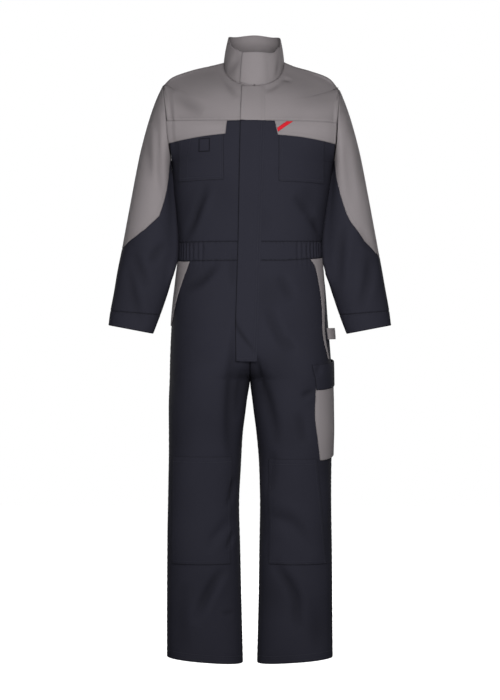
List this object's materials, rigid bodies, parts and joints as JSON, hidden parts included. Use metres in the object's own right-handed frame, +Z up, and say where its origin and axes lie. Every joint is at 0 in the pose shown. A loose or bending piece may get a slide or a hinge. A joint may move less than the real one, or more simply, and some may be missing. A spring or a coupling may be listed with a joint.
{
  "type": "boiler suit",
  "caption": "Two-colour long-sleeved boiler suit in its hollow worn form, with stand collar, fly placket, chest, thigh and knee pockets.",
  "frame": {"origin": "inside the neck, level with the side neck points, where the wearer's shoulders carry the suit", "axes": "+X to the wearer's left, +Y to the back (the front faces -Y), +Z up"},
  "size_m": [0.7294, 0.2794, 1.6373],
  "materials": {
    "navy_twill": "matt dark navy cotton and polyester twill",
    "grey_twill": "matt warm grey cotton and polyester twill",
    "red_tab": "woven red tape"
  },
  "bodies": {
    "root": {"collar": "grey_twill", "front_yoke_right": "grey_twill", "front_yoke_left": "grey_twill", "back_yoke": "grey_twill", "placket_collar": "grey_twill", "placket_upper": "grey_twill", "placket_lower": "navy_twill", "chest_flap_right": "grey_twill", "chest_flap_left": "grey_twill", "label_tab": "red_tab", "front_right": "navy_twill", "front_left": "navy_twill", "back": "navy_twill", "chest_pocket_right": "navy_twill", "chest_pocket_left": "navy_twill", "pen_loop": "navy_twill", "waistband_right": "navy_twill", "waistband_left": "navy_twill", "waistband_back": "navy_twill", "sleeve_top_right": "grey_twill", "sleeve_top_left": "grey_twill", "sleeve_under_right": "navy_twill", "sleeve_under_left": "navy_twill", "cuff_right": "navy_twill", "cuff_left": "navy_twill", "leg_front_right": "navy_twill", "leg_front_left": "navy_twill", "leg_back_right": "navy_twill", "leg_back_left": "navy_twill", "pocket_facing_right": "grey_twill", "pocket_facing_left": "grey_twill", "hammer_loop": "grey_twill", "thigh_pocket": "grey_twill", "thigh_flap": "navy_twill", "knee_pocket_right": "navy_twill", "knee_pocket_left": "navy_twill"}
  },
  "joints": []
}
